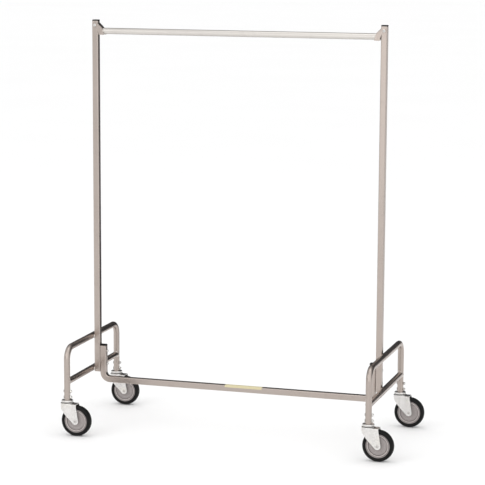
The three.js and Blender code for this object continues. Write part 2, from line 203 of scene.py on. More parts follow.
def join_skins(name, skins):
    """One mesh out of closed surfaces, each with its points numbered after those before it."""
    points, quads, quad_path, fans, fan_path = zip(*skins)
    counts = np.r_[0, np.cumsum([len(p) for p in points])[:-1]]
    quads = np.vstack([q + n for q, n in zip(quads, counts)])
    fans = np.vstack([f + n for f, n in zip(fans, counts)])
    mesh = bpy.data.meshes.new(name)
    mesh.from_pydata(np.vstack(points), [], quads.tolist() + fans.tolist())
    path = np.concatenate([np.vstack(quad_path).ravel(), np.vstack(fan_path).ravel()])
    mesh.uv_layers.new(name="path").data.foreach_set("uv", path.astype(np.float32))
    return mesh


def make_piece(name, skins, finish, body="frame", stands_for=()):
    return fit_piece(name, join_skins(name, skins), finish, body, stands_for)


class Flow:
    """A number on its way through the nodes of a finish: sums and products add Math nodes."""

    def __init__(self, finish, socket):
        self.finish = finish
        self.socket = socket

    def maths(self, operation, a, b):
        return self.finish.node("Math", {"operation": operation}, {0: a, 1: b})

    def __add__(self, other):
        return self.maths("ADD", self, other)

    def __sub__(self, other):
        return self.maths("SUBTRACT", self, other)

    def __rsub__(self, other):
        return self.maths("SUBTRACT", other, self)

    def __mul__(self, other):
        return self.maths("MULTIPLY", self, other)

    __radd__ = __add__
    __rmul__ = __mul__


class Finish:
    """A surface finish: one Principled shader with its constant values, and the nodes behind it."""

    def __init__(self, name, slot, constants):
        self.slot = slot
        self.material = bpy.data.materials.new(name)
        self.material.use_nodes = True
        self.tree = self.material.node_tree
        self.surface = self.tree.nodes["Principled BSDF"]
        for socket, value in constants.items():
            self.surface.inputs[socket].default_value = value
        self.place = self.node("TexCoord", {}, {}, "Object")
        self.path = self.node("UVMap", {"uv_map": "path"}, {})
        self.edge = self.node("Attribute", {"attribute_name": "edge"}, {}, "Fac")

    def node(self, kind, settings, values, output=0):
        """Adds a node: first its settings, then the numbers or flows of its inputs."""
        node = self.tree.nodes.new("ShaderNode" + kind)
        for key, setting in settings.items():
            setattr(node, key, setting)
        self.feed(node, values)
        return Flow(self, node.outputs[output])

    def feed(self, node, values):
        for key, value in values.items():
            if isinstance(value, Flow):
                self.tree.links.new(value.socket, node.inputs[key])
            else:
                node.inputs[key].default_value = value

    def stretch(self, vector, scale):
        return self.node("VectorMath", {"operation": "MULTIPLY"}, {0: vector, 1: scale})

    def noise(self, vector, scale, detail=3, roughness=0.5):
        values = {"Vector": vector, "Scale": scale, "Detail": detail, "Roughness": roughness}
        return self.node("TexNoise", {}, values)

    def between(self, value, low, high):
        """0 below low, 1 above high, and a smooth step from one to the other."""
        settings = {"interpolation_type": "SMOOTHSTEP"}
        return self.node("MapRange", settings, {"Value": value, "From Min": low, "From Max": high})

    def mix(self, share, first, second):
        """The first colour where share is 0, the second where it is 1."""
        colours = [c if isinstance(c, Flow) else (*c, 1) for c in (first, second)]
        settings = {"data_type": "RGBA", "clamp_factor": True}
        return self.node("Mix", settings, {0: share, 6: colours[0], 7: colours[1]}, 2)

    def bump(self, height, distance, strength, under=None):
        values = {"Height": height, "Distance": distance, "Strength": strength}
        if under:
            values["Normal"] = under
        return self.node("Bump", {}, values)

    def paint(self, inputs):
        self.feed(self.surface, inputs)
        return self


def plated_tube(name, slot, light, dark, roughness):
    """Satin plating on drawn tube: fine grain along the tube, broad clouds in the plating, duller
    finger marks, hairline scratches lengthways, bulging corners painted brighter as rubbing wear
    and painted highlight, and hollows painted darker as painted shade."""
    f = Finish(name, slot, {"Metallic": 1.0})
    grain = f.noise(f.stretch(f.path, (2400, 24, 1)), 1, 3)
    clouds = f.noise(f.place, 6, 4)
    marks = f.between(f.noise(f.place, 24, 5, 0.65), 0.52, 0.72)
    hairlines = f.between(f.noise(f.stretch(f.path, (1100, 7, 1)), 1, 1), 0.69, 0.75)
    rubbed_and_highlit = f.between(f.edge, 0.15, 0.7)
    hollow_shade = f.between(0 - f.edge, 0.1, 0.6)
    colour = f.mix(0.65 * clouds + 0.35 * grain, dark, light)
    # Bulging corners painted brighter: rubbing wear and painted highlight.
    colour = f.mix(0.4 * rubbed_and_highlit + 0.25 * hairlines, colour, [0.2 + 0.8 * c for c in light])
    # Hollows painted darker as painted shade; finger marks a little darker too.
    colour = f.mix(0.5 * hollow_shade + 0.08 * marks, colour, [0.4 * c for c in dark])
    fine = f.bump(grain, 0.02 * MM, 0.35)
    return f.paint({
        "Base Color": colour,
        "Roughness": roughness + 0.1 * clouds + 0.07 * grain + 0.1 * marks - 0.06 * rubbed_and_highlit,
        "Normal": f.bump(hairlines, -0.03 * MM, 0.4, fine),
    })


satin_nickel = plated_tube("satin_nickel", "frame_tube",
                           light=(0.49, 0.428, 0.39), dark=(0.40, 0.346, 0.313), roughness=0.2)

SIDES = {"left": -1, "right": 1}
square_outer = square(TUBE_HALF, SQUARE_CORNER)
square_inner = square(TUBE_HALF - TUBE_WALL, SQUARE_CORNER - TUBE_WALL)


def middle(node):
    low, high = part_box(node)
    return (low + high) / 2


upright_x = {}
for side in SIDES:
    low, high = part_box(f"{side}_upright")
    upright_x[side] = middle(f"{side}_upright").x
    path = bent_path([(upright_x[side], 0, low.z), (upright_x[side], 0, high.z)], 0)
    grid = hollow_tube(path, (0, 1, 0), square_outer, square_inner)
    make_piece(f"{side}_upright_tube", [skin(grid)], satin_nickel, "frame", [f"{side}_upright"])

# ---------- tube plugs ----------
# Moulded black plastic plugs pushed into the four open ends of the square tubes. A low crowned
# flange covers the tube's end and a shorter, smaller square reaches into it.

PLUG_CROWN = 0.6 * MM
PLUG_EASE = 1.3 * MM
PLUG_FLANGE = 5 * MM
PLUG_SLACK = 0.4 * MM  # between the plug and the tube wall


def turned(profile, section):
    """Row i is the section scaled to profile[i, 0] and lifted to profile[i, 1]."""
    profile = np.asarray(profile, float)
    flat = profile[:, :1, None] * section[None]
    height = np.broadcast_to(profile[:, 1:, None], (*flat.shape[:2], 1))
    return np.concatenate([flat, height], axis=2)


def moulded(name, slot, light, dark, dust, roughness, gloss):
    """Moulded plastic: spark-eroded texture from fine noise, slow flow marks, bulging edges painted
    lighter as wear and painted highlight, and hollows painted in the dust colour."""
    f = Finish(name, slot, {"Specular IOR Level": gloss})
    texture = f.noise(f.place, 1400, 3)
    flow_marks = f.noise(f.stretch(f.place, (40, 40, 130)), 1, 4)
    wear_and_highlight = f.between(f.edge, 0.12, 0.6)
    dust_and_shade = f.between(0 - f.edge, 0.05, 0.7)
    colour = f.mix(0.3 * texture + 0.7 * flow_marks, dark, light)
    # Bulging edges painted lighter: wear and painted highlight.
    colour = f.mix(0.85 * wear_and_highlight, colour, [0.015 + 2 * c for c in light])
    # Hollows take the dust colour: dust where lighter than the plastic, painted shade where darker.
    colour = f.mix(0.85 * dust_and_shade, colour, dust)
    return f.paint({
        "Base Color": colour,
        "Roughness": roughness + 0.12 * flow_marks - 0.1 * wear_and_highlight + 0.15 * dust_and_shade,
        "Normal": f.bump(texture, 0.06 * MM, 0.5),
    })


black_plastic = moulded("black_plastic", "plug_plastic", light=(0.008, 0.0076, 0.0072),
                        dark=(0.004, 0.004, 0.004), dust=(0.02, 0.019, 0.018),
                        roughness=0.42, gloss=0.12)

unit_square = square(1, SQUARE_CORNER / TUBE_HALF)
for side in SIDES:
    for place in ("upright_plug", "rail_plug"):
        low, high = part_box(f"{side}_{place}")
        inner = TUBE_HALF - TUBE_WALL - PLUG_SLACK
        flange_foot = high.z - PLUG_FLANGE
        profile = eased([
            (0, low.z), (inner, low.z), (inner, flange_foot),
            (TUBE_HALF, flange_foot), (TUBE_HALF, high.z - PLUG_CROWN), (0, high.z),
        ], [0, 1 * MM, 0.2 * MM, 0.4 * MM, PLUG_EASE, 0], closed=False)
        centre = middle(f"{side}_{place}")
        grid = turned(profile, unit_square) + np.array([centre.x, 0, 0])
        make_piece(f"{side}_{place}_cap", [skin(grid, "poles")], black_plastic, "frame",
                   [f"{side}_{place}"])

# ---------- bottom rail ----------
# One length of the same square tube, bent up at both ends to a radius of about 30 mm and bolted
# flat against the inner faces of the uprights.

RAIL_BEND = 30 * MM

low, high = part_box("bottom_rail")
rail_x = {"left": low.x + TUBE_HALF, "right": high.x - TUBE_HALF}
rail_z = low.z + TUBE_HALF
rail_corners = [
    (rail_x["left"], 0, high.z), (rail_x["left"], 0, rail_z),
    (rail_x["right"], 0, rail_z), (rail_x["right"], 0, high.z),
]
grid = hollow_tube(bent_path(rail_corners, RAIL_BEND), (0, 1, 0), square_outer, square_inner)
make_piece("bottom_rail_tube", [skin(grid)], satin_nickel, "frame", ["bottom_rail"])

# ---------- maker's strip ----------
# A pale yellow vinyl strip stuck over the front edge of the bottom rail, left blank. It lies on the
# rail's top, follows the rounded edge and comes a third of the way down the front face.

STRIP_FROM = -82 * MM
STRIP_TO = 78 * MM
STRIP_THICKNESS = 0.15 * MM
STRIP_GLUE = 0.1 * MM
STRIP_TOP_REACH = 0.55 * TUBE_HALF
STRIP_FRONT_DROP = 8 * MM


def vinyl(name, colour, faded):
    """Vinyl film: faded in patches, with a faint orange-peel surface."""
    f = Finish(name, None, {"Specular IOR Level": 0.5})
    fading = f.noise(f.place, 45, 4)
    peel = f.noise(f.place, 700, 2)
    return f.paint({
        "Base Color": f.mix(fading, colour, faded),
        "Roughness": 0.35 + 0.2 * fading,
        "Normal": f.bump(peel, 0.02 * MM, 0.3),
    })


pale_vinyl = vinyl("pale_vinyl", (0.60, 0.53, 0.30), (0.66, 0.60, 0.40))

turn = np.linspace(np.pi / 2, np.pi, 9)
rounding = SQUARE_CORNER - TUBE_HALF
outward = np.stack([np.cos(turn), np.sin(turn)], axis=1)
strip_line = np.vstack([
    (STRIP_TOP_REACH, TUBE_HALF),
    SQUARE_CORNER * outward + [rounding, -rounding],
    (-TUBE_HALF, TUBE_HALF - STRIP_FRONT_DROP),
])
outwards = np.vstack([(0, 1), outward, (-1, 0)])
lift = np.array([STRIP_GLUE, STRIP_GLUE + STRIP_THICKNESS])[:, None, None]
strip_loop = strip_line[None] + lift * outwards[None]
strip_loop = np.vstack([strip_loop[0], strip_loop[1][::-1]])
strip_stations = np.array([STRIP_FROM, STRIP_FROM + END_EASE, STRIP_TO - END_EASE, STRIP_TO])
grid = np.concatenate([
    np.broadcast_to(strip_stations[:, None, None], (4, len(strip_loop), 1)),
    np.broadcast_to(strip_loop[None] + [0, rail_z], (4, len(strip_loop), 2)),
], axis=2)
make_piece("blank_strip", [skin(grid, "poles")], pale_vinyl)

# ---------- base hoops and crossbars ----------
# Each end stands in a hoop of one inch round tube bent to two legs, with a straight crossbar of
# the same tube coped and welded between the legs.

ROUND_SIDES = 48
HOOP_BEND = 48 * MM


def circle(sides, radius=1.0):
    turn = np.linspace(0, 2 * np.pi, sides, endpoint=False)
    return radius * np.stack([np.cos(turn), np.sin(turn)], axis=1)


round_outer = circle(ROUND_SIDES, TUBE_HALF)
round_inner = circle(ROUND_SIDES, TUBE_HALF - TUBE_WALL)

hoop_x = {}
for side in SIDES:
    low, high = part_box(f"{side}_base_hoop")
    hoop_x[side] = (low.x + high.x) / 2
    leg_y = high.y - TUBE_HALF
    hoop_z = high.z - TUBE_HALF
    hoop_corners = [(hoop_x[side], -leg_y, low.z), (hoop_x[side], -leg_y, hoop_z),
                    (hoop_x[side], leg_y, hoop_z), (hoop_x[side], leg_y, low.z)]
    grid = hollow_tube(bent_path(hoop_corners, HOOP_BEND), (1, 0, 0), round_outer, round_inner)
    make_piece(f"{side}_hoop_tube", [skin(grid)], satin_nickel, "frame", [f"{side}_base_hoop"])

    crossbar_z = middle(f"{side}_base_crossbar").z
    crossbar_ends = [(hoop_x[side], -leg_y, crossbar_z), (hoop_x[side], leg_y, crossbar_z)]
    grid = hollow_tube(bent_path(crossbar_ends, 0), (1, 0, 0), round_outer, round_inner)
    sideways = np.clip(grid[..., 0] - hoop_x[side], -TUBE_HALF, TUBE_HALF)
    coped = leg_y - np.sqrt(TUBE_HALF**2 - sideways**2)
    grid[..., 1] = np.clip(grid[..., 1], -coped, coped)
    make_piece(f"{side}_crossbar_tube", [skin(grid)], satin_nickel, "frame",
               [f"{side}_base_crossbar"])

# ---------- welds ----------
# Narrow arc-welded beads, plated over with the frame: a ring where each crossbar meets a leg, and
# short beads where an upright stands against the hoop and the crossbar.

BEAD_SIDES = 10
RING_BEAD = 1.7 * MM
SEAM_BEAD = 1.7 * MM
CORNER_BEAD = 2.7 * MM
RING_RIPPLES, SEAM_RIPPLES, CORNER_RIPPLES = 26, 5, 3
SEAM_RISE = 5.4 * MM  # of the level beads above and below a tube's axis
SEAM_REACH = 11 * MM  # half their length
SEAM_PROUD = 0.9 * MM  # of their middle line off the upright's face
CORNER_OUT = 11.6 * MM  # of the upright beads before and behind the upright's axis
CORNER_REACH = 6.5 * MM  # half their length
CORNER_PROUD = 0.1 * MM


def bead(path, reference, radius, ripples, closed):
    """A rope along the path whose radius swells in ripples, as a welder's puddle freezes: radius
    times 1 + 0.14 cos(2 pi ripples s), with s from 0 to 1 along it. An open bead ends in points."""
    path = np.asarray(path, float)
    ahead = np.roll(path, -1, axis=0) - np.roll(path, 1, axis=0)
    if not closed:
        ahead = np.gradient(path, axis=0)
    ahead /= np.linalg.norm(ahead, axis=1, keepdims=True)
    normal = np.cross(ahead, reference)
    normal /= np.linalg.norm(normal, axis=1, keepdims=True)
    binormal = np.cross(ahead, normal)
    s = np.linspace(0, 1, len(path), endpoint=not closed)
    swell = radius * (1 + 0.14 * np.cos(2 * np.pi * ripples * s))
    if not closed:
        swell = swell * np.sqrt(np.clip(1 - (2 * s - 1) ** 4, 0, 1))
    section = circle(BEAD_SIDES)
    rim = section[None, :, :1] * normal[:, None] + section[None, :, 1:] * binormal[:, None]
    return path[:, None] + swell[:, None, None] * rim


# The beads share the frame's plating but are painted much lighter: painted highlight.
highlit_weld_metal = plated_tube("highlit_weld_metal", "frame_tube",
                         light=(0.80, 0.76, 0.72), dark=(0.55, 0.51, 0.48), roughness=0.22)

turn = np.linspace(0, 2 * np.pi, 72, endpoint=False)
dash = np.linspace(-1, 1, 25)
for side, sign in SIDES.items():
    rings = []
    for end in (-1, 1):
        saddle = np.stack([
            hoop_x[side] + TUBE_HALF * np.cos(turn),
            end * (leg_y - TUBE_HALF * np.abs(np.sin(turn))),
            crossbar_z + TUBE_HALF * np.sin(turn),
        ], axis=1)
        rings.append(skin(bead(saddle, (0, 1, 0), RING_BEAD, RING_RIPPLES, True)))
    make_piece(f"{side}_crossbar_welds", rings, highlit_weld_metal)

    face_x = upright_x[side] + sign * TUBE_HALF
    beads = []
    for level in (hoop_z, crossbar_z):
        for end in (-1, 1):
            line = np.stack([
                np.full_like(dash, face_x + sign * SEAM_PROUD),
                dash * SEAM_REACH,
                np.full_like(dash, level + end * SEAM_RISE),
            ], axis=1)
            beads.append(skin(bead(line, (1, 0, 0), SEAM_BEAD, SEAM_RIPPLES, False), "poles"))
        for end in (-1, 1):
            line = np.stack([
                np.full_like(dash, face_x + sign * CORNER_PROUD),
                np.full_like(dash, end * CORNER_OUT),
                level + dash * CORNER_REACH,
            ], axis=1)
            beads.append(skin(bead(line, (1, 0, 0), CORNER_BEAD, CORNER_RIPPLES, False), "poles"))
    make_piece(f"{side}_upright_welds", beads, highlit_weld_metal)

# ---------- hanger bar ----------
# A straight round tube between the uprights. Its plating is polished brighter by coat hangers.

bright_nickel = plated_tube("bright_nickel", "bar_tube",
                            light=(0.68, 0.65, 0.615), dark=(0.59, 0.56, 0.525), roughness=0.24)

low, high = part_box("hanger_bar")
bar_z = (low.z + high.z) / 2
bar_line = bent_path([(low.x, 0, bar_z), (high.x, 0, bar_z)], 0)
grid = hollow_tube(bar_line, (0, 1, 0), round_outer, round_inner)
make_piece("hanger_bar_tube", [skin(grid)], bright_nickel, "frame", ["hanger_bar"])

# ---------- bar brackets ----------
# Pressed steel channels welded over the bar's ends and bolted through the uprights: two cheeks and
# a sloping back with bent edges. Own x runs from the upright along the bar, own z from its axis.

SHEET = 2 * MM
CHEEK_FACE = TUBE_HALF + 0.3 * MM
BACK_BEND = 2.4 * MM
EAR_RADIUS = 9.5 * MM
BAR_BOLT_RISE = 23.5 * MM
BACK_TOP = np.array([13, 32]) * MM
BACK_DROP = 19 * MM  # the back slopes down at 45 degrees
DIAGONAL = np.sqrt(0.5)
TOE_OUT = 36.4 * MM  # of the toe welds from the upright's axis
TOE_LEAN = 2 * MM
TOE_REACH = 6 * MM
TOE_PROUD = 0.6 * MM

ear_turn = np.radians(np.linspace(90, 315, 24))
ear = EAR_RADIUS * np.stack([np.cos(ear_turn), np.sin(ear_turn)], axis=1) + [0, BAR_BOLT_RISE]
cheek_front = np.array([(31.2, 12.6), (12.6, 31.2)]) * MM
cheek_foot = np.array([(13, 0), (17.7, -15.6), (40, -15.6)]) * MM
cheek_corners = np.vstack([cheek_front, ear, cheek_foot])
cheek_ease = np.r_[1.5, 1.5, np.full(len(ear), 0.2), 2, 1.2, 1.2] * MM
cheek_middle = np.array([8, 22]) * MM


def slab(outline, thickness, ease):
    """A flat plate: the outline is scaled up from its middle, lifted by the thickness and scaled
    down again, with both rims eased."""
    share = ease / np.linalg.norm(outline, axis=1).mean()
    profile = [(0, 0), (1 - share, 0), (1, ease), (1, thickness - ease), (1 - share, thickness),
               (0, thickness)]
    rounding = [0, 0.1 * MM, 0.1 * MM, 0.1 * MM, 0.1 * MM, 0]
    return turned(eased(profile, rounding, steps=2, closed=False), outline)


for side, sign in SIDES.items():
    outline = eased(cheek_corners, cheek_ease, steps=3) - cheek_middle
    cheek = slab(outline, SHEET, 0.3 * MM)
    parts = []
    for face in (-CHEEK_FACE - SHEET, CHEEK_FACE):
        flat_x = upright_x[side] - sign * (cheek[..., 0] + cheek_middle[0])
        flat_z = bar_z + cheek[..., 1] + cheek_middle[1]
        parts.append(skin(np.stack([flat_x, face + cheek[..., 2], flat_z], axis=-1), "poles"))
    half = CHEEK_FACE + SHEET
    back_section = eased([(-half, -SHEET), (half, -SHEET), (half, 0), (-half, 0)],
                         [0.3 * MM, 0.3 * MM, BACK_BEND, BACK_BEND], steps=6)
    slope_length = BACK_DROP / DIAGONAL
    along = np.array([0, END_EASE, slope_length - END_EASE, slope_length])
    own_x = BACK_TOP[0] + DIAGONAL * (along[:, None] + back_section[None, :, 1])
    own_z = BACK_TOP[1] + DIAGONAL * (back_section[None, :, 1] - along[:, None])
    own_y = np.broadcast_to(back_section[None, :, 0], own_x.shape)
    grid = np.stack([upright_x[side] - sign * own_x, own_y, bar_z + own_z], axis=-1)
    parts.append(skin(grid, "poles"))
    make_piece(f"{side}_bar_bracket_channel", parts, satin_nickel, "frame", [f"{side}_bar_bracket"])

    seams = []
    for face in (-1, 1):
        line = np.stack([
            upright_x[side] - sign * (TOE_OUT - TOE_LEAN * dash),
            np.full_like(dash, face * (TUBE_HALF + TOE_PROUD)),
            bar_z + dash * TOE_REACH,
        ], axis=1)
        seams.append(skin(bead(line, (0, 1, 0), SEAM_BEAD, CORNER_RIPPLES, False), "poles"))
    make_piece(f"{side}_bracket_welds", seams, highlit_weld_metal)

# ---------- bolts and cap nuts ----------
# Quarter inch button head screws and domed cap nuts, zinc plated. Two hold each end of the rail,
# one each bracket, and two each caster stem.

HEAD_RADIUS = 6.2 * MM
HEAD_HEIGHT = 3 * MM
SHANK_RADIUS = 3 * MM
SOCKET_RADIUS = 2.2 * MM
SOCKET_DEPTH = 1.7 * MM
THREAD_REACH = 4.4 * MM
NUT_FLATS = 11 * MM
NUT_HEX_HEIGHT = 5 * MM
NUT_DOME_RADIUS = 4.6 * MM
NUT_HEIGHT = 8.6 * MM
NUT_SIDES = 72


def laid(grid, axis, origin):
    """The grid with its own z laid along the axis and its own zero put at the origin."""
    axis = np.array(axis, float)
    aside = np.roll(axis, 1)
    return grid @ np.stack([aside, np.cross(axis, aside), axis]) + np.array(origin)


def hexagon(sides):
    """Distance from the middle to a hexagon's edge, in units of half its flats, at each turn."""
    turn = np.linspace(0, 2 * np.pi, sides, endpoint=False)
    return 1 / np.cos(turn % (np.pi / 3) - np.pi / 6)


def button_bolt(grip):
    """A screw standing on z = 0: domed head below with a hexagon socket sunk in it, shank above."""
    dome_turn = np.radians(np.linspace(12, 68, 9))
    dome = np.stack([
        HEAD_RADIUS * np.cos(dome_turn) ** 0.8,
        -HEAD_HEIGHT * np.sin(dome_turn) ** 0.9,
    ], axis=1)
    rim = [(SOCKET_RADIUS * 1.3, -HEAD_HEIGHT), (SOCKET_RADIUS, -HEAD_HEIGHT * 0.94)]
    socket = [(SOCKET_RADIUS, SOCKET_DEPTH - HEAD_HEIGHT), (0, SOCKET_DEPTH - HEAD_HEIGHT * 0.9)]
    tip = grip + THREAD_REACH
    shank = [(0, tip), (SHANK_RADIUS, tip), (SHANK_RADIUS, 0), (HEAD_RADIUS, 0)]
    profile = np.vstack([shank, dome, rim, socket])
    hexagonal = np.zeros(len(profile))
    hexagonal[-3:] = 1
    unit = circle(NUT_SIDES)
    grid = turned(profile, unit)
    shape = 1 + hexagonal[:, None] * (hexagon(NUT_SIDES)[None] - 1)
    grid[..., :2] *= shape[..., None]
    return grid


def cap_nut():
    """A cap nut standing on z = 0: at each height the radius is the smaller of the hexagon's and
    the chamfer's, and above the hexagon it is a dome."""
    flat = NUT_FLATS / 2
    corner = flat / np.cos(np.pi / 6)
    chamfer = 0.7 * MM
    dome_foot = NUT_HEX_HEIGHT + 1 * MM
    rows = eased([
        (0, 0), (flat * 0.97, 0), (corner, chamfer),
        (corner, NUT_HEX_HEIGHT - chamfer), (flat * 0.95, NUT_HEX_HEIGHT),
        (NUT_DOME_RADIUS, NUT_HEX_HEIGHT), (NUT_DOME_RADIUS, dome_foot),
    ], 0.2 * MM, steps=3, closed=False)
    dome_turn = np.linspace(0.1, np.pi / 2, 9)
    dome_height = dome_foot + (NUT_HEIGHT - dome_foot) * np.sin(dome_turn)
    dome = np.stack([NUT_DOME_RADIUS * np.cos(dome_turn), dome_height], axis=1)
    rows = np.vstack([rows, dome])
    radius = np.minimum(rows[:, :1], flat * hexagon(NUT_SIDES)[None])
    unit = circle(NUT_SIDES)
    height = np.broadcast_to(rows[:, 1:], radius.shape)
    return np.concatenate([radius[..., None] * unit[None], height[..., None]], axis=2)


def zinc(name, slot, light, dark, roughness, spangle):
    """Zinc plate: crystals of slightly different grey, a trace of yellow passivation, hollows
    painted dark as painted shade, bulging edges painted bright as rubbing wear and painted
    highlight, and fine scratches."""
    f = Finish(name, slot, {"Metallic": 1.0})
    crystals = f.node("TexVoronoi", {}, {"Vector": f.place, "Scale": spangle}, "Color")
    crystal = f.node("SeparateColor", {}, {"Color": crystals})
    clouds = f.noise(f.place, 40, 4)
    passivation = f.between(f.noise(f.place, 18, 2), 0.5, 0.75)
    scratches = f.between(f.noise(f.stretch(f.place, (90, 1300, 160)), 1, 2), 0.66, 0.72)
    rubbed_and_highlit = f.between(f.edge, 0.25, 1.4)
    shaded_hollows = f.between(0 - f.edge, 0.1, 1.0)
    colour = f.mix(0.6 * crystal + 0.4 * clouds, dark, light)
    colour = f.mix(0.25 * passivation, colour, (light[0], 0.95 * light[1], 0.8 * light[2]))
    # Bulging edges painted bright: rubbing wear and painted highlight.
    colour = f.mix(0.5 * rubbed_and_highlit + 0.25 * scratches, colour, (0.93, 0.92, 0.9))
    # Hollows painted nearly black: painted shade.
    colour = f.mix(0.75 * shaded_hollows, colour, (0.05, 0.045, 0.04))
    fine = f.bump(crystal, 0.05 * MM, 0.3)
    return f.paint({
        "Base Color": colour,
        "Roughness": roughness + 0.12 * clouds + 0.06 * crystal - 0.08 * rubbed_and_highlit + 0.2 * shaded_hollows,
        "Normal": f.bump(scratches, -0.03 * MM, 0.4, fine),
    })


bright_zinc = zinc("bright_zinc", "fastener_zinc", light=(0.82, 0.81, 0.79),
                   dark=(0.58, 0.57, 0.555), roughness=0.2, spangle=900)
nut = cap_nut()
for side, sign in SIDES.items():
    head_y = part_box(f"{side}_bar_bolt")[0].y + HEAD_HEIGHT
    nut_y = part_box(f"{side}_bar_nut")[0].y
    bolt_z = middle(f"{side}_bar_bolt").z
    screw = laid(button_bolt(nut_y - head_y), (0, 1, 0), (upright_x[side], head_y, bolt_z))
    make_piece(f"{side}_bar_screw", [skin(screw, "poles")], bright_zinc, "frame",
               [f"{side}_bar_bolt"])
    cap = laid(nut, (0, 1, 0), (upright_x[side], nut_y, bolt_z))
    make_piece(f"{side}_bar_cap_nut", [skin(cap, "poles")], bright_zinc, "frame",
               [f"{side}_bar_nut"])
    for level in ("lower", "upper"):
        low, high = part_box(f"{side}_rail_bolt_{level}")
        nut_low, nut_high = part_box(f"{side}_rail_nut_{level}")
        head_x = high.x - HEAD_HEIGHT if sign > 0 else low.x + HEAD_HEIGHT
        nut_x = nut_high.x if sign > 0 else nut_low.x
        bolt_z = middle(f"{side}_rail_bolt_{level}").z
        screw = laid(button_bolt(abs(head_x - nut_x)), (-sign, 0, 0), (head_x, 0, bolt_z))
        make_piece(f"{side}_rail_screw_{level}", [skin(screw, "poles")], bright_zinc, "frame",
                   [f"{side}_rail_bolt_{level}"])
        cap = laid(nut, (-sign, 0, 0), (nut_x, 0, bolt_z))
        make_piece(f"{side}_rail_cap_nut_{level}", [skin(cap, "poles")], bright_zinc, "frame",
                   [f"{side}_rail_nut_{level}"])

swivel = {
    f"{end}_{side}": np.array([hoop_x[side], end_y, 0])
    for end, end_y in (("front", -leg_y), ("back", leg_y))
    for side in SIDES
}
for name, origin in swivel.items():
    for level in ("lower", "upper"):
        node = f"{name}_stem_bolt_{level}"
        low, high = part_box(node)
        bolt_z = middle(node).z
        head_x = low.x + HEAD_HEIGHT
        nut_x = high.x - NUT_HEIGHT
        screw = laid(button_bolt(nut_x - head_x), (1, 0, 0), (head_x, origin[1], bolt_z))
        cap = laid(nut, (1, 0, 0), (nut_x, origin[1], bolt_z))
        make_piece(f"{name}_stem_screw_{level}", [skin(screw, "poles"), skin(cap, "poles")],
                   bright_zinc, "frame", [node])

# ---------- caster stems ----------
# A solid turned stem fills each leg. Its wide flange is the upper ball race, and the pin below it
# is riveted over under the fork.

zinc_plate = zinc("zinc_plate", "zinc_plate", light=(0.85, 0.83, 0.81), dark=(0.58, 0.565, 0.55),
                  roughness=0.22, spangle=420)
wide_circle = circle(64)
# Points from the swivel axis and the floor, in millimetres.
riveted_pin = [(0, 128.2), (7.5, 128.2), (9.5, 131.2), (6, 131.2), (6, 140)]
upper_race = [(16, 140), (23.2, 141.5), (24, 142.5), (24, 147.2), (22.4, 148.7), (14.5, 148.7)]
shank = [(10.8, 148.7), (10.8, 202), (0, 202)]
stem_ease = np.array([0, 1, 0.6, 0.3, 0.3, 0.5, 0.4, 0.5, 0.9, 0.7, 0.4, 0.3, 1, 0])
stem_profile = eased(MM * np.array(riveted_pin + upper_race + shank), stem_ease * MM, closed=False)
for name, origin in swivel.items():
    grid = turned(stem_profile, wide_circle) + origin
    make_piece(f"{name}_stem_race", [skin(grid, "poles")], zinc_plate, "frame",
               [f"{name}_caster_stem"])

# ---------- ball race ----------
# Hardened steel balls run in the gap between the stem's flange and the cup pressed in the fork.

BALL_COUNT = 26
BALL_RADIUS = 1.9 * MM
BALL_RING = 20.6 * MM
BALL_HEIGHT = 139 * MM

ball_steel = zinc("ball_steel", "bush_steel", light=(0.62, 0.62, 0.62), dark=(0.45, 0.45, 0.45),
                  roughness=0.15, spangle=1500)
latitude = np.linspace(-np.pi / 2, np.pi / 2, 7)
ball = turned(BALL_RADIUS * np.stack([np.cos(latitude), np.sin(latitude)], 1), circle(8))
ball_places = circle(BALL_COUNT, BALL_RING)
for name, origin in swivel.items():
    balls = [skin(ball + origin + [x, y, BALL_HEIGHT], "poles") for x, y in ball_places]
    make_piece(f"{name}_race_balls", balls, ball_steel, f"{name}_fork")

# ---------- caster forks ----------
# Each fork is one piece of 2.5 mm sheet: a crown with a raised ball cup, and two cheeks bent down
# from it that taper to the axle. The axle is a rivet through the tips. Sizes here are in
# millimetres, from the swivel axis and the floor.

TRAIL = 40.8
WHEEL_RADIUS = 63.5
CROWN_RADIUS = 27.5
CHEEK_HALF = 20.5
CROWN_REAR = 44.0
SHELF_TOP = 134.0
CUP_RISE = 3.0
CUP_EDGE = 27.0
CROWN_BEND = 2.4
PLAN_TURN = 1.2  # where the round crown runs into the taper
TAPER_END = 26.0
TAPER_BLEND = 0.8
CUP_SLOPE, RIM_SLOPE = 1.6, 1.5
TIP_RADIUS = 13.5
TIP_FRONT, TIP_REAR = -2.435, 0.14
FORK_SHEET = 2.5
FORK_ROWS_TOP, FORK_ROWS_BEND, FORK_ROWS_WALL = 12, 6, 26
FORK_COLUMNS = 52
ROUND_COLUMNS = 22  # of them round the front of the crown


def fork_half_width(x):
    """Half the fork's width at x: a circle in front, then a straight taper that runs smoothly into
    the parallel cheeks. Millimetres."""
    round_part = np.sqrt(np.clip(CROWN_RADIUS**2 - x**2, 0, None))
    start = CROWN_RADIUS * np.array([np.cos(PLAN_TURN), np.sin(PLAN_TURN)])
    slope = (CHEEK_HALF - start[1]) / (TAPER_END - start[0])
    taper = start[1] + slope * (x - start[0])
    softened = CHEEK_HALF + TAPER_BLEND * np.logaddexp(0, (taper - CHEEK_HALF) / TAPER_BLEND)
    return np.where(x < start[0], round_part, softened)


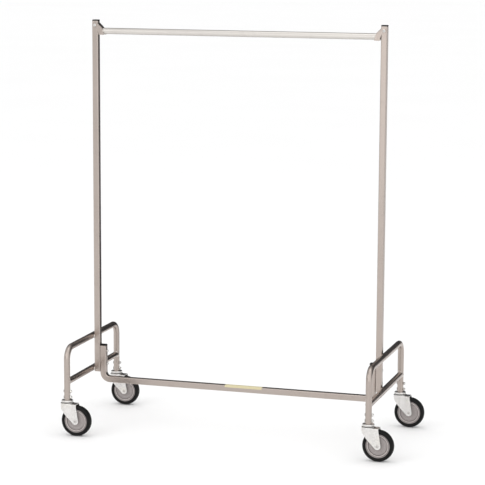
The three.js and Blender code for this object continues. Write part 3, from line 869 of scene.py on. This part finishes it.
def fork_lower_edge(count):
    """Side outline from the front of the crown down the front edge, round the axle tip: a
    quadratic curve, a straight line and an arc, resampled to even steps. Millimetres."""
    t = np.linspace(0, 1, 40)[:, None]
    front = (1 - t) ** 2 * [-28.5, 131] + 2 * t * (1 - t) * [-25, 117] + t**2 * [-12.2, 105]
    turn = np.linspace(TIP_FRONT, TIP_REAR, 60)
    tip = np.stack([TRAIL + TIP_RADIUS * np.cos(turn), WHEEL_RADIUS + TIP_RADIUS * np.sin(turn)], 1)
    line = np.vstack([front[front[:, 0] > -CROWN_RADIUS], tip])
    reached = np.r_[0, np.cumsum(np.linalg.norm(np.diff(line, axis=0), axis=1))]
    wanted = np.linspace(0, reached[-1], count)
    return np.stack([np.interp(wanted, reached, line[:, k]) for k in (0, 1)], axis=1)


def fork_half(columns):
    """Outer face of one half of the fork, from the crown's middle line out to its edge, over the
    bend and straight down a cheek to the lower edge. Column 0 is the front. Millimetres."""
    round_x = CROWN_RADIUS * np.cos(np.linspace(np.pi, PLAN_TURN, ROUND_COLUMNS))
    straight_x = np.linspace(round_x[-1], CROWN_REAR, columns - ROUND_COLUMNS + 1)[1:]
    x_top = np.r_[round_x, straight_x]
    y_top = fork_half_width(x_top)
    rim = np.stack([x_top, y_top], axis=1)
    ahead = np.gradient(rim, axis=0)
    ahead[0] = (0, 1)
    outward = np.stack([-ahead[:, 1], ahead[:, 0]], axis=1)
    outward /= np.linalg.norm(ahead, axis=1, keepdims=True)
    shoulder = rim - CROWN_BEND * outward
    spine = np.stack([np.where(x_top < 0, 0, x_top), np.zeros_like(x_top)], 1)
    share = np.linspace(0.02, 1, FORK_ROWS_TOP)[:, None, None]
    top = spine[None] + share * (shoulder - spine)[None]
    radius = np.linalg.norm(top, axis=2)
    cup = CUP_RISE * (1 - np.clip((radius - CUP_EDGE) / CUP_SLOPE + 0.5, 0, 1) ** 2)
    beyond = np.linalg.norm(rim, axis=1) - CROWN_RADIUS
    edge_cup = CUP_RISE * (1 - np.clip(beyond / RIM_SLOPE, 0, 1))
    cup = np.where(np.linalg.norm(shoulder, axis=1) < CUP_EDGE, CUP_RISE, cup)
    top = np.concatenate([top, (SHELF_TOP + cup)[..., None]], axis=2)
    turn = np.linspace(0, np.pi / 2, FORK_ROWS_BEND + 1)[1:, None, None]
    bend_flat = shoulder[None] + CROWN_BEND * np.sin(turn) * outward[None]
    bend_z = SHELF_TOP + edge_cup[None, :, None] - CROWN_BEND * (1 - np.cos(turn))
    bend = np.concatenate([bend_flat, np.broadcast_to(bend_z, (*bend_flat.shape[:2], 1))], axis=2)
    lower = fork_lower_edge(len(x_top))
    share = np.linspace(0, 1, FORK_ROWS_WALL + 1)[1:, None]
    start_x, start_z = x_top[None], bend[-1, :, 2][None]
    wall_x = start_x + share * (lower[None, :, 0] - start_x)
    wall_z = start_z + share * (lower[None, :, 1] - start_z)
    wall = np.stack([wall_x, fork_half_width(wall_x), wall_z], axis=2)
    wall[:, 0, 1] = 0
    bend[:, 0, 1] = 0
    top[:, 0, 1] = 0
    return np.concatenate([top, bend, wall])


half = fork_half(FORK_COLUMNS) * MM
mirrored = half[:, :0:-1] * [1, -1, 1]
fork_face = np.concatenate([mirrored, half], axis=1)
fork_face[0, :, 1] = 0


def pressed_fork(name, origin):
    """Mesh of the fork's outer face with its middle line sewn up, thickened inwards by a Solidify
    modifier and its cut edges rounded by a Bevel modifier."""
    rows, columns = fork_face.shape[:2]
    index = np.arange(rows * columns).reshape(rows, columns)
    quads = np.stack([index[:-1, :-1], index[1:, :-1], index[1:, 1:], index[:-1, 1:]], axis=-1)
    mesh = bpy.data.meshes.new(name)
    mesh.from_pydata(fork_face.reshape(-1, 3) + origin, [], quads.reshape(-1, 4).tolist())
    rig = bmesh.new()
    rig.from_mesh(mesh)
    bmesh.ops.remove_doubles(rig, verts=rig.verts, dist=0.02 * MM)
    bmesh.ops.recalc_face_normals(rig, faces=rig.faces)
    rig.to_mesh(mesh)
    rig.free()
    blank = bpy.data.objects.new(name, mesh)
    bpy.context.scene.collection.objects.link(blank)
    wall = blank.modifiers.new("sheet", "SOLIDIFY")
    wall.thickness = FORK_SHEET * MM
    wall.offset = -1
    wall.use_even_offset = True
    rounding = blank.modifiers.new("cut edges", "BEVEL")
    rounding.width = 0.35 * MM
    rounding.segments = 2
    rounding.limit_method = "ANGLE"
    rounding.angle_limit = np.radians(50)
    bpy.context.view_layer.update()
    evaluated = blank.evaluated_get(bpy.context.evaluated_depsgraph_get())
    pressed = bpy.data.meshes.new_from_object(evaluated)
    bpy.data.objects.remove(blank)
    return pressed


for name, origin in swivel.items():
    mesh = pressed_fork(f"{name}_fork_sheet", origin)
    if not mesh.uv_layers:
        mesh.uv_layers.new(name="path")
    fit_piece(f"{name}_fork_sheet", mesh, zinc_plate, f"{name}_fork", [f"{name}_caster_fork"])

axle = {name: origin + np.array([TRAIL, 0, WHEEL_RADIUS]) * MM for name, origin in swivel.items()}
RIVET_FACE = 20.8
rivet_head = np.array([(0, 1.2), (1.8, 1.2), (2.6, 2), (5, 1.9), (6.3, 0), (4, 0)])
rivet_ease = np.array([0, 0.4, 0.5, 1, 0.3, 0.1])
rivet_half = eased(MM * (rivet_head + [0, RIVET_FACE]), rivet_ease * MM, closed=False)
rivet_profile = np.vstack([rivet_half, rivet_half[::-1] * [1, -1]])
rivet_zinc = zinc("rivet_zinc", "fastener_zinc", light=(0.66, 0.63, 0.61),
                  dark=(0.48, 0.46, 0.445), roughness=0.26, spangle=900)
for name, origin in axle.items():
    grid = laid(turned(rivet_profile, circle(40)), (0, 1, 0), origin)
    make_piece(f"{name}_axle_rivet", [skin(grid, "poles")], rivet_zinc, f"{name}_fork",
               [f"{name}_wheel_axle"])

bush_profile = eased(np.array([(4.3, -17.7), (7, -17.7), (7, 17.7), (4.3, 17.7)]) * MM, 0.3 * MM)
for name, origin in axle.items():
    grid = laid(turned(bush_profile, circle(40)), (0, 1, 0), origin)
    make_piece(f"{name}_axle_bush", [skin(grid)], ball_steel, f"{name}_fork",
               [f"{name}_wheel_bush"])

# ---------- wheels ----------
# Five inch wheels: a grey moulded centre with a hub boss, a flat web and a raised ring between two
# grooves, and a black rubber tyre bonded round it, whose lips lie over its edge. Profiles are in
# millimetres.

WHEEL_SIDES = 120


def both_faces(half):
    """A closed wheel profile of [radius, half width] points: the given ones and their mirror."""
    half = np.array(half, float)
    return np.vstack([half * [1, -1], half[::-1]])


# The darker dust colour paints shade into the hub's grooves; the raised ring gets painted
# highlight.
grey_plastic = moulded("grey_plastic", "hub_plastic", light=(0.35, 0.317, 0.308),
                       dark=(0.285, 0.257, 0.25), dust=(0.06, 0.054, 0.05),
                       roughness=0.42, gloss=0.25)
hub_half = [
    (7.3, 16.5), (11.2, 16.5), (12.4, 11.2), (17, 9.8), (26.6, 9.8), (27.2, 10.3), (36.4, 10.3),
    (37.1, 7.2), (39.2, 7.2), (39.6, 12.6), (43.2, 12.6), (43.6, 8.2), (45.2, 8.2), (45.6, 10.9),
    (48.6, 10.9), (49.2, 12.3), (50, 12.3),
]
hub_ease = np.array([
    0.4, 0.4, 0.4, 0.4, 0.3, 0.3, 0.4, 0.8, 0.8, 1.4, 1.4, 0.6, 0.6, 0.4, 0.3, 0.3, 0.2,
])
hub_profile = eased(both_faces(hub_half) * MM, np.r_[hub_ease, hub_ease[::-1]] * MM, steps=3)
for name, origin in axle.items():
    grid = laid(turned(hub_profile, circle(WHEEL_SIDES)), (0, 1, 0), origin)
    make_piece(f"{name}_wheel_centre", [skin(grid)], grey_plastic, f"{name}_wheel",
               [f"{name}_wheel_hub"])


def rubber(name, slot):
    """Bonded rubber: a dull black skin, paler scuffs and floor dust in patches, a faint moulded
    texture, and shinier shoulders."""
    f = Finish(name, slot, {"Specular IOR Level": 0.12})
    texture = f.noise(f.place, 900, 3)
    dust = f.between(f.noise(f.place, 70, 5, 0.7), 0.45, 0.8)
    scuffs = f.between(f.noise(f.stretch(f.place, (60, 500, 60)), 1, 4, 0.7), 0.6, 0.75)
    shoulder = f.between(f.edge, 0.1, 0.5)
    colour = f.mix(texture, (0.005, 0.005, 0.005), (0.010, 0.0098, 0.0098))
    colour = f.mix(0.25 * dust + 0.2 * scuffs, colour, (0.05, 0.047, 0.045))
    return f.paint({
        "Base Color": colour,
        "Roughness": 0.42 + 0.25 * dust + 0.1 * texture - 0.1 * shoulder,
        "Normal": f.bump(texture, 0.08 * MM, 0.4),
    })


black_rubber = rubber("black_rubber", "tyre_rubber")
tyre_half = [
    (50.3, 12.5), (48.5, 12.5), (48.9, 13.1), (52.4, 13.5), (53.2, 14.8), (56.6, 15.9),
    (57.2, 15.3), (60, 14.1), (62.4, 10.2), (63.35, 4.5), (63.35, 0.9), (63.5, 0.4),
]
tyre_ease = np.array([0.1, 0.1, 0.3, 0.4, 0.6, 0.5, 0.3, 1.6, 2.2, 1.5, 0.2, 0.1])
tyre_profile = eased(both_faces(tyre_half) * MM, np.r_[tyre_ease, tyre_ease[::-1]] * MM, steps=4)
for name, origin in axle.items():
    grid = laid(turned(tyre_profile, circle(WHEEL_SIDES)), (0, 1, 0), origin)
    make_piece(f"{name}_tyre_ring", [skin(grid)], black_rubber, f"{name}_wheel",
               [f"{name}_wheel_tyre"])

# ---------- studio ----------
# A wide pale floor under an even white surround, with soft lights at the front left, in front and
# overhead. Dark flags behind the rack, which only gloss can see, give the tubes dark edges.

FLOOR_REACH = 300.0


def lit_plane(name, corners, finish):
    mesh = bpy.data.meshes.new(name)
    mesh.from_pydata(np.array(corners, float), [], [(0, 1, 2, 3)])
    mesh.materials.append(finish.material)
    plane = bpy.data.objects.new(name, mesh)
    bpy.context.scene.collection.objects.link(plane)
    return plane


floor_paint = Finish("floor_paint", None, {"Specular IOR Level": 0.1, "Roughness": 0.8})
mottle = floor_paint.noise(floor_paint.place, 0.6, 3)
floor_paint.paint({"Base Color": floor_paint.mix(mottle, (0.90, 0.90, 0.90), (0.88, 0.88, 0.88))})
floor_corners = FLOOR_REACH * np.array([(-1, -1, 0), (1, -1, 0), (1, 1, 0), (-1, 1, 0)])
lit_plane("floor", floor_corners, floor_paint)

flag_cloth = Finish("flag_cloth", None, {"Specular IOR Level": 0.0, "Roughness": 1.0})
weave = flag_cloth.noise(flag_cloth.place, 300, 2)
flag_cloth.paint({"Base Color": flag_cloth.mix(weave, (0.025, 0.027, 0.032), (0.03, 0.033, 0.038))})
FLAGS = {
    "near_flag": [(-1.5, 1.2, 0), (0.35, 1.2, 0), (0.35, 1.2, 0.6), (-1.5, 1.2, 0.6)],
    "far_flag": [(-0.5, 2.6, 0), (0.95, 2.6, 0), (0.95, 2.6, 3), (-0.5, 2.6, 3)],
    "low_flag": [(-4.0, 2.6, 0), (-0.5, 2.6, 0), (-0.5, 2.6, 1.3), (-4.0, 2.6, 1.3)],
}
for name, corners in FLAGS.items():
    flag = lit_plane(name, corners, flag_cloth)
    flag.visible_camera = False
    flag.visible_diffuse = False
    flag.visible_shadow = False
    flag.visible_transmission = False

world = bpy.data.worlds.new("surround")
bpy.context.scene.world = world
world.use_nodes = True


class Surround(Finish):
    """The white room, as strong as `white` for all that isn't gloss. Gloss sees it as strong as
    `back` behind the rack, and in front rising from `left` to `right` left of the middle."""

    def __init__(self, white, back, left, right):
        self.tree = world.node_tree
        direction = self.node("TexCoord", {}, {}, "Generated")
        x = self.node("SeparateXYZ", {}, {"Vector": direction}, "X")
        y = self.node("SeparateXYZ", {}, {"Vector": direction}, "Y")
        gloss = self.node("LightPath", {}, {}, "Is Glossy Ray")
        forward = self.between(-0.85 * y - 0.35 * x, -0.8, 0.25)
        front = left + (right - left) * self.between(x, -0.42, -0.15)
        seen = back + (front - back) * forward
        strength = white + gloss * (seen - white)
        self.feed(self.tree.nodes["Background"], {"Color": (1, 1, 1, 1), "Strength": strength})


Surround(white=1.14, back=0.05, left=0.78, right=1.36)


def softbox(name, place, aim, width, height, power):
    light = bpy.data.lights.new(name, "AREA")
    light.shape = "RECTANGLE"
    light.size, light.size_y = width, height
    light.energy = power
    lamp = bpy.data.objects.new(name, light)
    lamp.location = place
    lamp.rotation_mode = "QUATERNION"
    lamp.visible_camera = False
    lamp.rotation_quaternion = (Vector(aim) - Vector(place)).to_track_quat("-Z", "Y")
    bpy.context.scene.collection.objects.link(lamp)


softbox("key", (-3.8, -4.2, 3.6), (0, 0, 0.8), 2.0, 2.0, 28)
softbox("overhead", (0.35, -0.5, 4.5), (0.35, -0.5, 0), 3.0, 2.0, 11)
softbox("front", (-0.3, -4.5, 1.6), (0.5, 0, 1.6), 2.0, 2.4, 8)

# ---------- camera ----------
# A long lens a little above the rack's top, to the right of it and turned left and down onto it.

CAMERA_PLACE = (2.3186, -7.586, 2.058)
YAW, PITCH, ROLL = 0.298, -0.158, 0.005

camera = bpy.data.cameras.new("camera")
camera.lens = 145.5
camera.sensor_width = 36
camera.clip_end = 1000
viewer = bpy.data.objects.new("camera", camera)
bpy.context.scene.collection.objects.link(viewer)
turned_camera = (
    Matrix.Rotation(YAW, 4, "Z")
    @ Matrix.Rotation(np.pi / 2 + PITCH, 4, "X")
    @ Matrix.Rotation(ROLL, 4, "Z")
)
viewer.matrix_world = Matrix.Translation(CAMERA_PLACE) @ turned_camera
bpy.context.scene.camera = viewer
bpy.context.scene.view_settings.view_transform = "Standard"
